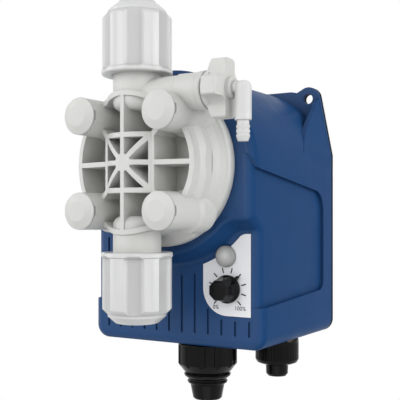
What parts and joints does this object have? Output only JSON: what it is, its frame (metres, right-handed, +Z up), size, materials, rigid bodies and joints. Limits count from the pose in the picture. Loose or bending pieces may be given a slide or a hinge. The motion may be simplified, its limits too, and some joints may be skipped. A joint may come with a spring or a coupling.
{
  "type": "diaphragm metering pump",
  "caption": "Wall-hung solenoid diaphragm metering pump with ribbed pump head, union nuts, bleed valve and stroke dial.",
  "frame": {"origin": "on the wall face of the back cover, level with the pump-head axis and midway between the housing sides", "axes": "+Y into the wall, +Z up, +X to the right for someone facing the pump"},
  "size_m": [0.1171, 0.1445, 0.2082],
  "materials": {
    "blue_plastic": "fine satin moulded",
    "black_plastic": "satin",
    "head_plastic": "satin moulded, slightly warm white",
    "union_plastic": "satin white",
    "milky_plastic": "milky, slightly translucent",
    "label_film": "matt printed film",
    "lens_plastic": "smooth grey diffuser",
    "board_laminate": "solder mask",
    "steel": "turned",
    "copper_wire": "enamelled copper",
    "bronze": "sintered",
    "seal_rubber": "matt",
    "valve_glass": "polished"
  },
  "bodies": {
    "root": {"housing": "blue_plastic", "back_cover": "black_plastic", "gland_body": "black_plastic", "gland_locknut": "black_plastic", "gland_nut": "black_plastic", "level_socket_cap": "black_plastic", "potentiometer": "black_plastic", "board_components": "black_plastic", "pump_head": "head_plastic", "bolt_caps": "head_plastic", "backing_plate": "head_plastic", "bleed_seat": "head_plastic", "discharge_cartridge": "head_plastic", "suction_cartridge": "head_plastic", "discharge_union_nut": "union_plastic", "suction_union_nut": "union_plastic", "discharge_nozzle": "union_plastic", "suction_nozzle": "union_plastic", "discharge_ferrule": "union_plastic", "suction_ferrule": "union_plastic", "coil_bobbin": "milky_plastic", "control_label": "label_film", "indicator_lens": "lens_plastic", "indicator_led": "lens_plastic", "circuit_board": "board_laminate", "cover_screws": "steel", "solenoid_flange": "steel", "solenoid_shell": "steel", "pole_piece": "steel", "return_spring": "steel", "rear_core": "steel", "head_bolts": "steel", "bolt_washers": "steel", "coil_winding": "copper_wire", "guide_bush": "bronze", "level_socket": "bronze", "cover_gasket": "seal_rubber", "rear_pad": "seal_rubber", "diaphragm": "seal_rubber", "head_o_ring": "seal_rubber", "bleed_o_ring": "seal_rubber", "gland_seal": "seal_rubber", "gland_boot": "seal_rubber", "discharge_o_ring": "seal_rubber", "suction_o_ring": "seal_rubber"},
    "plunger": {"plunger": "steel", "push_rod": "steel", "diaphragm_insert": "steel"},
    "suction_ball": {"suction_ball": "valve_glass"},
    "discharge_ball": {"discharge_ball": "valve_glass"},
    "control_knob": {"control_knob": "black_plastic", "potentiometer_shaft": "steel"},
    "bleed_needle": {"bleed_needle": "milky_plastic"},
    "bleed_knob": {"bleed_knob": "head_plastic"},
    "bleed_elbow": {"bleed_elbow": "milky_plastic"}
  },
  "joints": [
    {"name": "plunger_stroke", "type": "slide", "parent": "root", "child": "plunger", "axis": [0, -1, 0], "range_m": [0, 0.00125], "stiffness_N_per_m": 3000, "springref_m": -0.0015, "deforming": ["return_spring", "diaphragm"]},
    {"name": "suction_ball_lift", "type": "slide", "parent": "root", "child": "suction_ball", "axis": [0, 0, 1], "range_m": [0, 0.0015]},
    {"name": "discharge_ball_lift", "type": "slide", "parent": "root", "child": "discharge_ball", "axis": [0, 0, 1], "range_m": [0, 0.0015]},
    {"name": "stroke_dial", "type": "hinge", "parent": "root", "child": "control_knob", "pos_m": [0.0332, -0.0926, -0.0634], "axis": [0, 1, 0], "range_deg": [-180, 90]},
    {"name": "bleed_rise", "type": "slide", "parent": "root", "child": "bleed_needle", "axis": [1, 0, 0], "range_m": [0, 0.00076]},
    {"name": "bleed_turn", "type": "hinge", "parent": "bleed_needle", "child": "bleed_knob", "pos_m": [0.046, -0.126, 0.0333], "axis": [1, 0, 0], "range_deg": [0, 180]},
    {"name": "elbow_swivel", "type": "hinge", "parent": "bleed_needle", "child": "bleed_elbow", "pos_m": [0.0597, -0.126, 0.0333], "axis": [1, 0, 0], "continuous": true}
  ],
  "couplings": [
    {"joint": "bleed_rise", "follows": "bleed_turn", "m_per_rad": 0.00023873}
  ]
}
